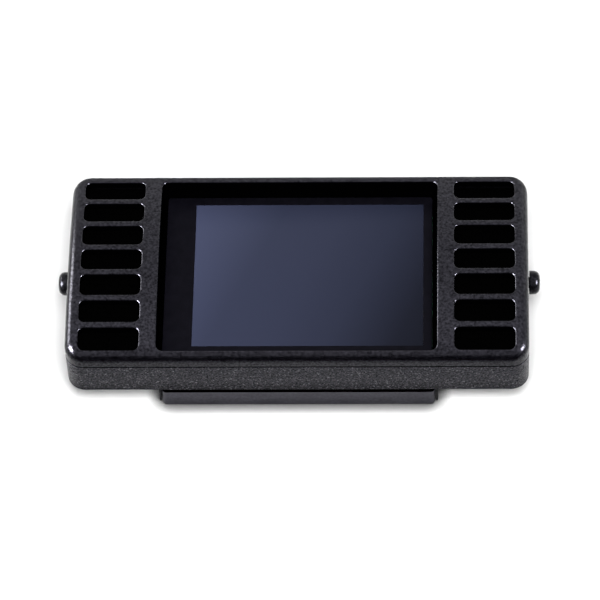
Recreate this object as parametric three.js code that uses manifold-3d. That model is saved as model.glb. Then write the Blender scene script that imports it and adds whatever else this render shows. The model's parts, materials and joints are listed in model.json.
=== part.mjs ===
// Dash-top radar detector display head: arched bezel with slotted grilles, recessed screen,
// rear housing and receiver box. Millimetres. +X is the unit's right, +Y its top edge, and
// +Z the way the screen faces. The unit lies on the back of its receiver box, at z = 0.

import * as THREE from 'three';
import { mergeVertices } from 'three/addons/utils/BufferGeometryUtils.js';
import Module from 'manifold-3d';

const wasm = await Module();
wasm.setup();

// ---- Driving dimensions ----------------------------------------------------------------

const gap = 0.3;                  // clearance between neighbouring pieces

const bodyWidth = 115;
const bodyHeight = 55;
const bodyCorner = 4.5;           // radius of the outline's four corners
const wall = 2;

const boxDepth = 8;               // receiver box, from the table up
const housingDepth = 10.4;        // rear housing
const bezelEdgeDepth = 4.6;       // bezel's side wall, measured at its top and bottom edges
const archRadius = 122;           // front face curves from the top edge to the bottom edge
const faceThickness = 2.2;
const archSegments = 10;

const slotRows = 7;
const slotWidth = 15;
const slotOpening = 5.86;
const slotPitch = 7.53;
const slotCorner = 1.45;
const slotCentre = 46.56;         // distance of each column of slots from the middle

const recessWidth = 69.4;
const recessHeight = 51.2;
const recessCorner = 1.6;
const panelBelowFace = 9;         // depth of the screen's surface below the top of the arch
const meshThickness = 0.6;        // grille mesh

const panelSize = [67.1, 49.6, 1];
const panelCentre = [-0.05, 0.38];
const activeSize = [57.6, 43.2];  // 2.8 inch, 4:3
const activeCentre = [2.46, 1.26];

const boxSize = [68.2, 53];
const boxCorner = 1.1;
const boxBevel = 0.4;             // round edge of the box's back
const boxWall = 1.5;
const endPlate = { thickness: 0.45, height: 52, drop: 6.8, tab: 12 };

const pivotHeight = 15.2;         // height of the side screws' common axis
const pivotHead = { radius: 3, height: 2.7 };
const pivotShank = { radius: 1.45, length: 7 };
const insert = { outer: 2.3, inner: 1.75, length: 5 };
const sideBlock = { depth: 7.5, height: 7.8 };  // moulded round each threaded insert

// ---- Derived levels --------------------------------------------------------------------

const backLevel = boxDepth;
const seamLevel = backLevel + housingDepth;
const edgeLevel = seamLevel + bezelEdgeDepth;
const archRise = archRadius - Math.sqrt(archRadius ** 2 - (bodyHeight / 2) ** 2);
const faceLevel = edgeLevel + archRise;
const panelLevel = faceLevel - panelBelowFace;
const floorLevel = backLevel + wall;

// ---- Materials -------------------------------------------------------------------------

const finish = (color, roughness, metalness = 0) =>
  new THREE.MeshStandardMaterial({ color, roughness, metalness });

const bezelBlack = finish(0x37363a, 0.38);
const housingBlack = finish(0x323235, 0.75);
const boxBlack = finish(0x3c3b40, 0.5);
const screenBlack = finish(0x121214, 0.12);
const screenBlue = finish(0x2c3145, 0.12);
const meshBlack = finish(0x08080a, 0.9);
const screwBlack = finish(0x18181a, 0.35, 0.8);
const steel = finish(0x9a9c9f, 0.35, 0.9);
const brass = finish(0xb08a3c, 0.35, 0.9);
const boardGreen = finish(0x1d4a30, 0.6);
const chipBlack = finish(0x1b1b1d, 0.6);
const rubberBlack = finish(0x141414, 0.9);
const ceramic = finish(0xc9bfa6, 0.5);
const amberFilm = finish(0x9a6a24, 0.5);
const laserRed = finish(0x2a0709, 0.1);

// ---- Solids ----------------------------------------------------------------------------

/** A closed geometry as a solid that can be joined and cut. */
function solid(geometry) {
  geometry.deleteAttribute('normal');
  geometry.deleteAttribute('uv');
  const welded = mergeVertices(geometry, 1e-4);
  return new wasm.Manifold(new wasm.Mesh({
    numProp: 3,
    vertProperties: new Float32Array(welded.attributes.position.array),
    triVerts: new Uint32Array(welded.index.array),
  }));
}

/** A solid as a geometry that a mesh can hold. */
function toGeometry(body) {
  const { vertProperties, triVerts } = body.getMesh();
  const geometry = new THREE.BufferGeometry();
  geometry.setAttribute('position', new THREE.BufferAttribute(new Float32Array(vertProperties), 3));
  geometry.setIndex(new THREE.BufferAttribute(new Uint32Array(triVerts), 1));
  geometry.computeVertexNormals();
  return geometry;
}

/** Outline of a rectangle with round corners, centred on (x, y). */
function roundedRectangle(width, height, radius, x = 0, y = 0) {
  const right = x + width / 2 - radius;
  const top = y + height / 2 - radius;
  const left = x - width / 2 + radius;
  const bottom = y - height / 2 + radius;
  const shape = new THREE.Shape();
  shape.absarc(right, top, radius, 0, Math.PI / 2);
  shape.absarc(left, top, radius, Math.PI / 2, Math.PI);
  shape.absarc(left, bottom, radius, Math.PI, 1.5 * Math.PI);
  shape.absarc(right, bottom, radius, 1.5 * Math.PI, 2 * Math.PI);
  shape.closePath();
  return shape;
}

/** A round-cornered block standing between two heights. */
function block(width, height, radius, low, high, x = 0, y = 0, curveSegments = 2) {
  const shape = roundedRectangle(width, height, radius, x, y);
  const geometry = new THREE.ExtrudeGeometry(shape, {
    depth: high - low, bevelEnabled: false, curveSegments,
  });
  return solid(geometry.translate(0, 0, low));
}

/** A plain box between two corners. */
function box(low, high) {
  const size = high.map((value, axis) => value - low[axis]);
  const centre = high.map((value, axis) => (value + low[axis]) / 2);
  return solid(new THREE.BoxGeometry(...size).translate(...centre));
}

/** An upright cylinder between two heights. */
function post(radius, low, high, x, y, segments = 12) {
  const geometry = new THREE.CylinderGeometry(radius, radius, high - low, segments);
  return solid(geometry.rotateX(Math.PI / 2).translate(x, y, (low + high) / 2));
}

/** A turned piece: [radius, height] points round the Z axis. */
function turned(profile, segments = 14) {
  const points = profile.map(([radius, height]) => new THREE.Vector2(radius, height));
  return new THREE.LatheGeometry(points, segments).rotateX(Math.PI / 2);
}

/** A Y-Z outline drawn out along X, centred on x = 0. */
function extrudeAlongX(shape, length, curveSegments = 2) {
  const geometry = new THREE.ExtrudeGeometry(shape, { depth: length, bevelEnabled: false, curveSegments });
  const turn = new THREE.Matrix4().makeBasis(
    new THREE.Vector3(0, 1, 0), new THREE.Vector3(0, 0, 1), new THREE.Vector3(1, 0, 0));
  return geometry.applyMatrix4(turn).translate(-length / 2, 0, 0);
}

/** Everything below an arched surface whose crown is at crownLevel, down to low. */
function archedBlock(crownLevel, low, radius) {
  const half = bodyHeight / 2 + 1;
  const sweep = Math.asin(half / radius);
  const shape = new THREE.Shape();
  shape.moveTo(-half, low);
  shape.lineTo(half, low);
  shape.absarc(0, crownLevel - radius, radius, Math.PI / 2 - sweep, Math.PI / 2 + sweep);
  shape.closePath();
  return solid(extrudeAlongX(shape, bodyWidth + 2, archSegments));
}

/** Two crossed bars that cut the recess of a screw's head. */
function crossRecess(reach, halfWidth, low, high) {
  return box([-halfWidth, -reach, low], [halfWidth, reach, high])
    .add(box([-reach, -halfWidth, low], [reach, halfWidth, high]));
}

const joined = (bodies) => bodies.reduce((sum, body) => sum.add(body));
const cut = (body, tools) => tools.reduce((rest, tool) => rest.subtract(tool), body);

const corners = (x, y) => [[x, y], [-x, y], [-x, -y], [x, -y]];

// ---- The assembly ----------------------------------------------------------------------

const group = new THREE.Group();

function place(name, shape, material, position = [0, 0, 0]) {
  const geometry = shape.isBufferGeometry ? shape : toGeometry(shape);
  const mesh = new THREE.Mesh(geometry, material);
  mesh.name = name;
  mesh.position.set(...position);
  group.add(mesh);
  return mesh;
}

// Fastener places, shared by the screws and the pieces that they hold.
// sunk is the height of the head's outer side above the surface that it goes in from.
const caseScrew = { places: corners(37.1, 23.4), shank: 0.95, head: 1.8, length: 9.6, sunk: 0.2, post: 2.3 };
const boxScrew = { places: corners(31.2, 12), shank: 0.95, head: 1.8, length: 9.6, sunk: 0.3, post: 2.3 };
const boardScrew = { places: corners(31.5, 21.8), shank: 0.85, head: 1.5, length: 4, post: 1.9 };
const screwHead = 1;                        // height of the small screws' heads
const sideWall = 0.7;                       // left outside each threaded insert
const speakerCentre = [47, 15];

const boardLevel = floorLevel + 2;          // underside of the display board
const boardThickness = 1.5;
const receiverBoardLevel = 2.6;             // underside of the receiver board
const receiverBoardTop = receiverBoardLevel + 1.2;
const ribbon = { width: 14, thickness: 0.3, reach: 3, y: 8 };
const trayTop = panelLevel - panelSize[2] - gap;
const trayLow = boardLevel + boardThickness + gap;
const meshPost = 1.9;                       // radius of the bezel's screw posts
const caseJoint = floorLevel + 4.4;         // level where the bezel's posts meet the housing's

const slotCentres = [-1, 1].flatMap((side) => Array.from({ length: slotRows }, (_, row) =>
  [side * slotCentre, ((slotRows - 1) / 2 - row) * slotPitch]));

// Bezel: face, side wall, recess walls and screw posts in one moulding.
{
  const shell = block(bodyWidth, bodyHeight, bodyCorner, seamLevel + gap / 2, faceLevel + 1, 0, 0, 5)
    .intersect(archedBlock(faceLevel, seamLevel - 1, archRadius));
  const [innerWidth, innerHeight] = [bodyWidth - 2 * wall, bodyHeight - 2 * wall];
  const hollow = block(innerWidth, innerHeight, bodyCorner - wall, seamLevel - 1, faceLevel + 1)
    .intersect(archedBlock(faceLevel - faceThickness, seamLevel - 1, archRadius - faceThickness));
  const skirt = block(recessWidth + 2 * faceThickness, innerHeight - 2 * gap, recessCorner,
    panelLevel + gap, edgeLevel);
  const posts = caseScrew.places.map(([x, y]) =>
    post(meshPost, caseJoint + gap / 2, edgeLevel - 1, x, y));
  const slots = slotCentres.map(([x, y]) =>
    block(slotWidth, slotOpening, slotCorner, seamLevel, faceLevel + 1, x, y));
  const recess = block(recessWidth, recessHeight, recessCorner, panelLevel - 1, faceLevel + 1);
  const tip = backLevel + caseScrew.sunk + caseScrew.length;
  const threads = caseScrew.places.map(([x, y]) =>
    post(caseScrew.shank + gap, caseJoint - 1, tip + 0.5, x, y, 8));
  const moulding = joined([shell.subtract(hollow), skirt, ...posts]);
  place('front_bezel', cut(moulding, [...slots, recess, ...threads]), bezelBlack);
}

// Rear housing: an open tray with posts for every screw and a block behind each side screw.
{
  const tray = block(bodyWidth, bodyHeight, bodyCorner, backLevel, seamLevel - gap / 2, 0, 0, 5);
  const [innerWidth, innerHeight] = [bodyWidth - 2 * wall, bodyHeight - 2 * wall];
  const pocket = block(innerWidth, innerHeight, bodyCorner - wall, floorLevel, seamLevel + 1);
  const rim = seamLevel - gap / 2;
  const postRoot = backLevel + 1;
  const casePosts = caseScrew.places.map(([x, y]) =>
    post(caseScrew.post, postRoot, caseJoint - gap / 2, x, y));
  const boxPosts = boxScrew.places.map(([x, y]) => post(boxScrew.post, postRoot, floorLevel + 1.5, x, y));
  const boardPosts = boardScrew.places.map(([x, y]) =>
    post(boardScrew.post, postRoot, boardLevel - gap, x, y));
  const sideBlocks = [-1, 1].map((side) => {
    const middle = side * (bodyWidth / 2 - sideBlock.depth / 2);
    const half = sideBlock.depth / 2 - 0.5;
    return box([middle - half, -sideBlock.height / 2, floorLevel - 1],
      [middle + half, sideBlock.height / 2, rim]);
  });
  const headRoom = backLevel + caseScrew.sunk + screwHead + gap;
  const tools = [];
  for (const [x, y] of caseScrew.places) {
    tools.push(post(caseScrew.head + gap, backLevel - 1, headRoom, x, y));
    tools.push(post(caseScrew.shank + gap, backLevel - 1, caseJoint + 1, x, y, 8));
  }
  for (const [x, y] of boxScrew.places) {
    const tip = boxScrew.sunk + boxScrew.length;
    tools.push(post(boxScrew.shank + gap, backLevel - 1, tip + 0.7, x, y, 8));
  }
  for (const [x, y] of boardScrew.places) {
    tools.push(post(boardScrew.shank + gap, backLevel + 0.8, boardLevel, x, y, 8));
  }
  for (const side of [-1, 1]) {
    const bore = insert.outer + gap;
    const insertBore = new THREE.CylinderGeometry(bore, bore, sideBlock.depth, 16).rotateZ(Math.PI / 2);
    const boreMiddle = side * ((bodyWidth - sideBlock.depth) / 2 - sideWall);
    tools.push(solid(insertBore.translate(boreMiddle, 0, pivotHeight)));
    const hole = new THREE.CylinderGeometry(insert.inner, insert.inner, 2 * wall, 16).rotateZ(Math.PI / 2);
    tools.push(solid(hole.translate(side * bodyWidth / 2, 0, pivotHeight)));
    const plateX = side * (boxSize[0] / 2 + gap + endPlate.thickness / 2);
    const half = endPlate.thickness / 2 + gap;
    tools.push(box([plateX - half, -endPlate.tab / 2 - gap, backLevel - 1],
      [plateX + half, endPlate.tab / 2 + gap, backLevel + 1.4]));
  }
  tools.push(block(ribbon.width + 4, 5, 1, backLevel - 1, floorLevel + 1, 0, ribbon.y));
  place('rear_housing', cut(joined([tray.subtract(pocket), ...casePosts, ...boxPosts, ...boardPosts,
    ...sideBlocks]), tools), housingBlack);
}

// Receiver box: a smooth cover on the back, with the inlet in its top wall.
const inlet = { width: 9, height: 3.2, depth: 7, low: receiverBoardTop + gap };
const lens = { radius: 4, thickness: 1.4, x: -20, y: 17 };
{
  const [width, height] = boxSize;
  const top = backLevel - gap;
  const base = roundedRectangle(width - 2 * boxBevel, height - 2 * boxBevel, boxCorner - boxBevel);
  const outside = new THREE.ExtrudeGeometry(base, {
    depth: backLevel, bevelEnabled: true, bevelThickness: boxBevel, bevelSize: boxBevel, bevelSegments: 2,
    curveSegments: 3,
  });
  const cover = solid(outside.translate(0, 0, boxBevel)).intersect(box([-40, -40, -1], [40, 40, top]));
  const hollow = block(width - 2 * boxWall, height - 2 * boxWall, boxCorner, boxWall, top + 1);
  const posts = boxScrew.places.map(([x, y]) => post(boxScrew.post, boxWall / 2, top, x, y));
  const rests = corners(26.5, 20.5).map(([x, y]) =>
    post(1.2, boxWall / 2, receiverBoardLevel - gap, x, y, 8));
  const tools = [];
  for (const [x, y] of boxScrew.places) {
    tools.push(post(boxScrew.head + gap, -1, boxScrew.sunk + screwHead + gap, x, y));
    tools.push(post(boxScrew.shank + gap, -1, top + 1, x, y, 8));
  }
  tools.push(box([-inlet.width / 2 - gap, height / 2 - 3, inlet.low - gap],
    [inlet.width / 2 + gap, height / 2 + 1, inlet.low + inlet.height + gap]));
  tools.push(post(lens.radius + gap, -1, boxWall + 1, lens.x, lens.y, 16));
  place('receiver_box', cut(joined([cover.subtract(hollow), ...posts, ...rests]), tools), boxBlack);
}
{
  const { radius, thickness } = lens;
  const disc = turned([[0, 0], [radius - 0.3, 0], [radius, 0.3], [radius, thickness], [0, thickness]], 16);
  place('laser_lens', disc, laserRed, [lens.x, lens.y, 0.3]);
}

// Spring plates at the two ends of the receiver box, each hooked into the housing by a tab.
for (const [label, side] of [['left', -1], ['right', 1]]) {
  const x = side * (boxSize[0] / 2 + gap + endPlate.thickness / 2);
  const half = endPlate.thickness / 2;
  const plate = box([x - half, -endPlate.height / 2, backLevel - endPlate.drop],
    [x + half, endPlate.height / 2, backLevel - gap]);
  const tab = box([x - half, -endPlate.tab / 2, backLevel - 1],
    [x + half, endPlate.tab / 2, backLevel + 1.1]);
  place(`end_plate_${label}`, plate.add(tab), screwBlack);
}

// Screen module, from the front: panel with its border, active area, gasket, tray, board.
{
  const [width, height, thickness] = panelSize;
  const [x, y] = panelCentre;
  const low = panelLevel - thickness;
  const [activeX, activeY] = activeCentre;
  const [openWidth, openHeight] = activeSize.map((side) => side + 2 * gap);
  const cellLow = low - 0.8;
  const opening = block(openWidth, openHeight, 0.4, low - 1, panelLevel + 1, activeX, activeY);
  const panel = block(width, height, 0.8, low, panelLevel, x, y, 3);
  place('display_panel', panel.subtract(opening), screenBlack);
  place('screen_cell', block(...activeSize, 0.2, cellLow, panelLevel - 0.05, activeX, activeY), screenBlue);

  const trayCentre = [0.65, 0.6];
  const [trayWidth, trayHeight] = [62.9, 46];
  const tray = block(trayWidth, trayHeight, 1, trayLow, trayTop, ...trayCentre);
  const seat = block(openWidth, openHeight, 0.4, cellLow - gap, trayTop + 1, activeX, activeY);
  const headRoom = boardScrew.places.map(([px, py]) =>
    post(boardScrew.head + gap, trayLow - 1, boardLevel + boardThickness + screwHead + 2 * gap, px, py));
  place('display_frame', cut(tray, [seat, ...headRoom]), steel);

  const ring = block(width - 0.2, height - 0.2, 1, trayLow, trayTop, x, y);
  const inside = block(trayWidth + 2 * gap, trayHeight + 2 * gap, 1, trayLow - 1, trayTop + 1,
    ...trayCentre);
  const postRoom = caseScrew.places.map(([px, py]) =>
    post(caseScrew.post + gap, boardLevel - 1, trayTop + 1, px, py));
  place('display_gasket', cut(ring, [inside, ...headRoom, ...postRoom]), rubberBlack);

  const holes = boardScrew.places.map(([px, py]) =>
    post(boardScrew.shank + gap, boardLevel - 1, boardLevel + boardThickness + 1, px, py, 8));
  const board = block(67, 48, 1.5, boardLevel, boardLevel + boardThickness);
  place('display_board', cut(board, [...holes, ...postRoom]), boardGreen);
}

// Flat ribbon from the display board down through the housing's floor to the receiver board.
{
  const { width, thickness, reach, y: middle } = ribbon;
  const high = boardLevel - gap;
  const low = receiverBoardTop + gap;
  const half = thickness / 2;
  const shape = new THREE.Shape([
    [middle - half, low], [middle + reach, low], [middle + reach, low + thickness],
    [middle + half, low + thickness], [middle + half, high], [middle - reach, high],
    [middle - reach, high - thickness], [middle - half, high - thickness],
  ].map(([y, z]) => new THREE.Vector2(y, z)));
  place('display_flex', extrudeAlongX(shape, width), amberFilm);
}

// Receiver board: flat patch antennas on its underside look out through the box's floor.
{
  const board = block(56, 46, 1.5, receiverBoardLevel, receiverBoardTop);
  const patches = [];
  for (const x of [-6, 2, 10, 18]) {
    for (const y of [-12, -4, 4, 12]) {
      patches.push(box([x - 2.6, y - 2, receiverBoardLevel - 0.2],
        [x + 2.6, y + 2, receiverBoardLevel + 0.1]));
    }
  }
  place('receiver_board', joined([board, ...patches]), boardGreen);
  const top = receiverBoardTop + gap;
  place('processor_chip', block(12, 12, 0.3, top, top + 1.2, -17, -8, 1), chipBlack);
  const can = block(22, 18, 0.6, top, top + 2.6, 12, -8, 2);
  const under = block(21, 17, 0.4, top - 1, top + 2.2, 12, -8, 2);
  place('rf_shield', can.subtract(under), steel);
  const shell = block(inlet.width, inlet.height, 1.55, 0, inlet.depth, 0, 0, 3);
  const mouth = block(inlet.width - 0.8, inlet.height - 0.8, 1.15, 1, inlet.depth + 1, 0, 0, 3);
  const socket = toGeometry(shell.subtract(mouth)).rotateX(-Math.PI / 2);
  const back = boxSize[1] / 2 - inlet.depth - 0.2;
  place('power_socket', socket, steel, [0, back, inlet.low + inlet.height / 2]);
}

// Grille mesh behind each column of slots, following the arch.
for (const [label, side] of [['left', -1], ['right', 1]]) {
  const crown = faceLevel - faceThickness - gap;
  const radius = archRadius - faceThickness - gap;
  const under = archedBlock(crown - meshThickness, floorLevel - 1, radius - meshThickness);
  const sheet = archedBlock(crown, floorLevel, radius).subtract(under);
  const outline = block(17.4, bodyHeight - 2 * (wall + gap), 2.4, floorLevel, faceLevel, side * 46.5, 0);
  const postRoom = caseScrew.places.map(([x, y]) => post(meshPost + gap, floorLevel, faceLevel, x, y));
  place(`grille_mesh_${label}`, cut(sheet.intersect(outline), postRoom), meshBlack);
}

// Alert speaker behind the right grille: magnet, basket and a cone that moves along Z.
{
  const at = (z) => [...speakerCentre, z];
  place('speaker_magnet', turned([[0, 0], [5, 0], [5, 2.2], [0, 2.2]], 16), steel, at(floorLevel + gap));
  const basket = turned([
    [3.4, 0], [7.6, 0], [7.6, 4.6], [6.7, 4.6], [6.7, 1], [3.4, 1], [3.4, 0]], 16);
  place('speaker_frame', basket, chipBlack, at(floorLevel + 2.8));
  const cone = turned([
    [0, 2.2], [1.6, 2.0], [2.2, 1.5], [2.2, 0], [2.9, 0], [2.9, 1.5], [6.2, 3.4], [6.2, 4.0],
    [2.6, 2.3], [1.8, 2.8], [0, 3.0]], 16);
  place('speaker_cone', cone, meshBlack, at(floorLevel + 3.2));
}

// Satellite antenna: a ceramic patch on the housing's floor behind the left grille.
{
  const patch = joined([block(15, 15, 0.8, 0, 4), block(11, 11, 0.5, 3.5, 4.2)]);
  place('gps_antenna', patch, ceramic, [-47, 15, floorLevel + gap]);
}

// Threaded inserts and the two side screws that carry the head.
for (const [label, side] of [['left', -1], ['right', 1]]) {
  const tilt = side * Math.PI / 2;
  const { outer, inner, length } = insert;
  const end = length / 2;
  const sleeve = turned([[inner, -end], [outer, -end], [outer, end], [inner, end], [inner, -end]], 16);
  const sleeveX = side * ((bodyWidth - length) / 2 - sideWall - gap);
  place(`pivot_insert_${label}`, sleeve.rotateY(tilt), brass, [sleeveX, 0, pivotHeight]);

  const { radius, height } = pivotHead;
  const screw = solid(turned([
    [0, -pivotShank.length], [pivotShank.radius - 0.3, -pivotShank.length],
    [pivotShank.radius, 0.3 - pivotShank.length], [pivotShank.radius, 0],
    [radius, 0], [radius, height * 0.4], [radius * 0.95, height * 0.7], [radius * 0.8, height * 0.9],
    [radius * 0.5, height], [0, height]], 20));
  const shape = toGeometry(screw.subtract(crossRecess(radius * 0.55, 0.4, height - 1.3, height + 1)));
  const underHead = side * (bodyWidth / 2 + gap);
  place(`pivot_screw_${label}`, shape.rotateY(tilt), screwBlack, [underHead, 0, pivotHeight]);
}

// Small screws: head at z = 0, shank along +Z; the board's screws are turned over.
function smallScrew({ shank, head, length }) {
  const body = solid(turned([
    [0, 0], [head - 0.3, 0], [head, 0.3], [head, screwHead], [shank, screwHead + 0.2],
    [shank, length - 0.4], [shank - 0.4, length], [0, length]], 10));
  return toGeometry(body.subtract(crossRecess(head - 0.3, 0.3, -1, screwHead / 2)));
}
caseScrew.places.forEach(([x, y], index) => {
  place(`case_screw_${index + 1}`, smallScrew(caseScrew), screwBlack, [x, y, backLevel + caseScrew.sunk]);
});
boxScrew.places.forEach(([x, y], index) => {
  place(`box_screw_${index + 1}`, smallScrew(boxScrew), screwBlack, [x, y, boxScrew.sunk]);
});
boardScrew.places.forEach(([x, y], index) => {
  const screw = smallScrew(boardScrew).rotateX(Math.PI);
  place(`board_screw_${index + 1}`, screw, steel, [x, y, boardLevel + boardThickness + gap + screwHead]);
});

export default group;
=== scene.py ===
"""Looks of the radar detector display head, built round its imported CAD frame.

Metres, in the frame of the CAD: +X right, +Y the unit's top edge, +Z the way the screen faces.
"""

import json
import math

import bpy
from mathutils import Matrix, Vector
from mathutils.geometry import delaunay_2d_cdt


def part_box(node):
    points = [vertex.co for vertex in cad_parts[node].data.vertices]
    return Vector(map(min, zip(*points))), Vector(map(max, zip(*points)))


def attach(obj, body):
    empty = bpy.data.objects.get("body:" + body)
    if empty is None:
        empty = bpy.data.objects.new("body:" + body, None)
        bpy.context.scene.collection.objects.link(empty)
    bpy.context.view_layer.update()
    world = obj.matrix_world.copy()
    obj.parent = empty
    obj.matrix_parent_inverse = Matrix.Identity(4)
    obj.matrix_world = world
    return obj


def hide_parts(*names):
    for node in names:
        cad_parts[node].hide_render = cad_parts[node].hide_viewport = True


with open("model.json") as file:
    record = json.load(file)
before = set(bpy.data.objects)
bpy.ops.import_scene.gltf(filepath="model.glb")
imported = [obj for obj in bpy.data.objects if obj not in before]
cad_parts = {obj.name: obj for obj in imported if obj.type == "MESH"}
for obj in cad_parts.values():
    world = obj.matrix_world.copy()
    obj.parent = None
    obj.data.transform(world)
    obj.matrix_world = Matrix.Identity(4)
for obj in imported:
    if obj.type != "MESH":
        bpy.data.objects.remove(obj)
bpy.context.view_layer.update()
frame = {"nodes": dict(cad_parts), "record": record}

MM = 0.001

# ---- Places that the frame gives ---------------------------------------------------------

BEZEL_LOW, BEZEL_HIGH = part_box("front_bezel")
HOUSING_LOW, HOUSING_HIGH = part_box("rear_housing")
BOX_LOW, BOX_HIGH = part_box("receiver_box")
PANEL_LOW, PANEL_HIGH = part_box("display_panel")
CELL_LOW, CELL_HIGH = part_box("screen_cell")

BODY_WIDTH = BEZEL_HIGH.x - BEZEL_LOW.x
BODY_HEIGHT = BEZEL_HIGH.y - BEZEL_LOW.y
CROWN = BEZEL_HIGH.z
BACK = HOUSING_LOW.z
GAP = 0.3 * MM
SEAM = HOUSING_HIGH.z + GAP / 2
BODY_SIZE = (BODY_WIDTH, BODY_HEIGHT)
PANEL_SIZE = (PANEL_HIGH.x - PANEL_LOW.x, PANEL_HIGH.y - PANEL_LOW.y)
CELL_SIZE = (CELL_HIGH.x - CELL_LOW.x, CELL_HIGH.y - CELL_LOW.y)

# ---- Sizes that the pieces' shapes need --------------------------------------------------

ARCH_RADIUS = 122 * MM
FACE_THICKNESS = 2.2 * MM
BODY_CORNER = 4.5 * MM
WALL = 2 * MM

SLOT_ROWS = 7
SLOT_SIZE = (15 * MM, 5.86 * MM)
SLOT_PITCH = 7.53 * MM
SLOT_CORNER = 1.45 * MM
SLOT_X = 46.56 * MM
SLOT_EDGE = 0.45 * MM           # radius of a slot's rounded edge

RECESS_SIZE = (69.4 * MM, 51.2 * MM)
RECESS_CORNER = 1.6 * MM
RECESS_EDGE = 0.55 * MM
OPENING_EDGE_STEPS = 6          # steps over the rounded edge of a slot or of the recess

# Just past the outermost walls of the slots and of the recess, from the unit's middle.
OPENINGS_REACH = (54.2 * MM, 25.65 * MM)

# The face rolls over towards the unit's bottom edge. The outline's rounded edge reaches in and
# down by different amounts at the top, the sides and the bottom, and blends round the corners.
ROLL_RADIUS = 3.0 * MM
EDGE_IN = {"top": 0.6 * MM, "side": 2.6 * MM, "bottom": 0.5 * MM}
EDGE_DOWN = {"top": 0.5 * MM, "side": 2.6 * MM, "bottom": 0.0}
OUTLINE_EDGE_STEPS = 9
BEZEL_LEAD = 0.08 * MM          # chamfer of the bezel along the seam

POCKET_SIZE = (19.2 * MM, 51.8 * MM)    # hollow behind each column of slots
POCKET_CORNER = 1.0 * MM
SKIRT_SIZE = (1.4 * MM, 50.2 * MM)      # wall at each side of the screen, under the recess
SKIRT_CORNER = 0.3 * MM

HOUSING_EDGE = 0.6 * MM         # radius of the housing's back edge
HOUSING_LEAD = 0.12 * MM        # chamfer of the housing along the seam

BOX_WALL = 1.5 * MM
BOX_CORNER = 1.1 * MM
BOX_EDGE = 0.35 * MM
BOX_NECK = 2.1 * MM             # height of the receiver box's narrower part, under the housing
BOX_NECK_IN = 0.6 * MM          # how much narrower it is on each side

# Radii of the holes, and how deep the small screws' heads are sunk into the housing.
SCREW_HEAD_HOLE = 2.1 * MM
SCREW_SHANK_HOLE = 1.25 * MM
PIVOT_BORE = 1.75 * MM
WINDOW_HOLE = 4.3 * MM
SCREW_HEAD_DEPTH = 1.6 * MM
PAST = 1 * MM                   # how far a cutter reaches past the faces that it cuts through

PIVOT_HEAD = 2.7 * MM           # height of a side screw's head
PIVOT_SHANK = 1.45 * MM         # radius
PIVOT_PITCH = 0.5 * MM
SMALL_HEAD = 1.8 * MM           # radius of a small screw's head
SMALL_SHANK = 0.95 * MM         # radius
SMALL_PITCH = 0.6 * MM
TIP = 0.01 * MM                 # radius of the tiny flat at each end of a turned piece

GRID_STEP = 1.3 * MM            # spacing of the points along outlines
FACE_STEP = 0.8 * MM            # spacing of the points that carry the arch
SINGLE_STEP = 60 * MM           # leaves the straight sides of a small outline undivided
SHARP_ANGLE = math.radians(40)  # edges sharper than this aren't shaded smooth


# ---- Meshes ------------------------------------------------------------------------------

def ring_points(half, radius, counts, centre, arc_steps):
    """Anticlockwise points of a rectangle with round corners.

    half is how far the corners' centres lie from the middle, and counts says how many steps its
    sides along X and along Y are divided into.
    """
    points = []
    for quarter, (sign_x, sign_y) in enumerate(((1, 1), (-1, 1), (-1, -1), (1, -1))):
        middle = (centre[0] + sign_x * half[0], centre[1] + sign_y * half[1])
        for index in range(arc_steps + 1):
            angle = math.pi / 2 * (quarter + index / arc_steps)
            points.append((middle[0] + radius * math.cos(angle), middle[1] + radius * math.sin(angle)))
        along = quarter % 2                 # 0: the next side runs along X, 1: along Y
        direction = (-1, -1, 1, 1)[quarter]
        last = points[-1]
        for index in range(1, counts[along]):
            move = direction * 2 * half[along] * index / counts[along]
            points.append((last[0] + move, last[1]) if along == 0 else (last[0], last[1] + move))
    return points


def side_counts(size, corner, step=GRID_STEP):
    """How many steps the straight sides of a round-cornered rectangle are divided into."""
    return [max(1, round((side - 2 * corner) / step)) for side in size]


def rectangle_ring(size, corner, centre=(0, 0), grow=0.0, arc_steps=7, step=GRID_STEP):
    """Anticlockwise points of a round-cornered rectangle, grown by `grow` on every side.

    The number of points depends only on size, corner and the steps, so rings grown by
    different amounts match point for point.
    """
    radius = corner + grow
    half = [side / 2 + grow - radius for side in size]
    return ring_points(half, radius, side_counts(size, corner, step), centre, arc_steps)


def circle_ring(radius, count):
    """Anticlockwise points of a circle."""
    turns = [2 * math.pi * index / count for index in range(count)]
    return [(radius * math.cos(turn), radius * math.sin(turn)) for turn in turns]


def distance_outside(point, size, corner, centre=(0, 0)):
    """Distance from a point to a round-cornered rectangle, negative inside it."""
    across = abs(point[0] - centre[0]) - size[0] / 2 + corner
    along = abs(point[1] - centre[1]) - size[1] / 2 + corner
    outside = math.hypot(max(across, 0), max(along, 0))
    return outside + min(max(across, along), 0) - corner


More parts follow.
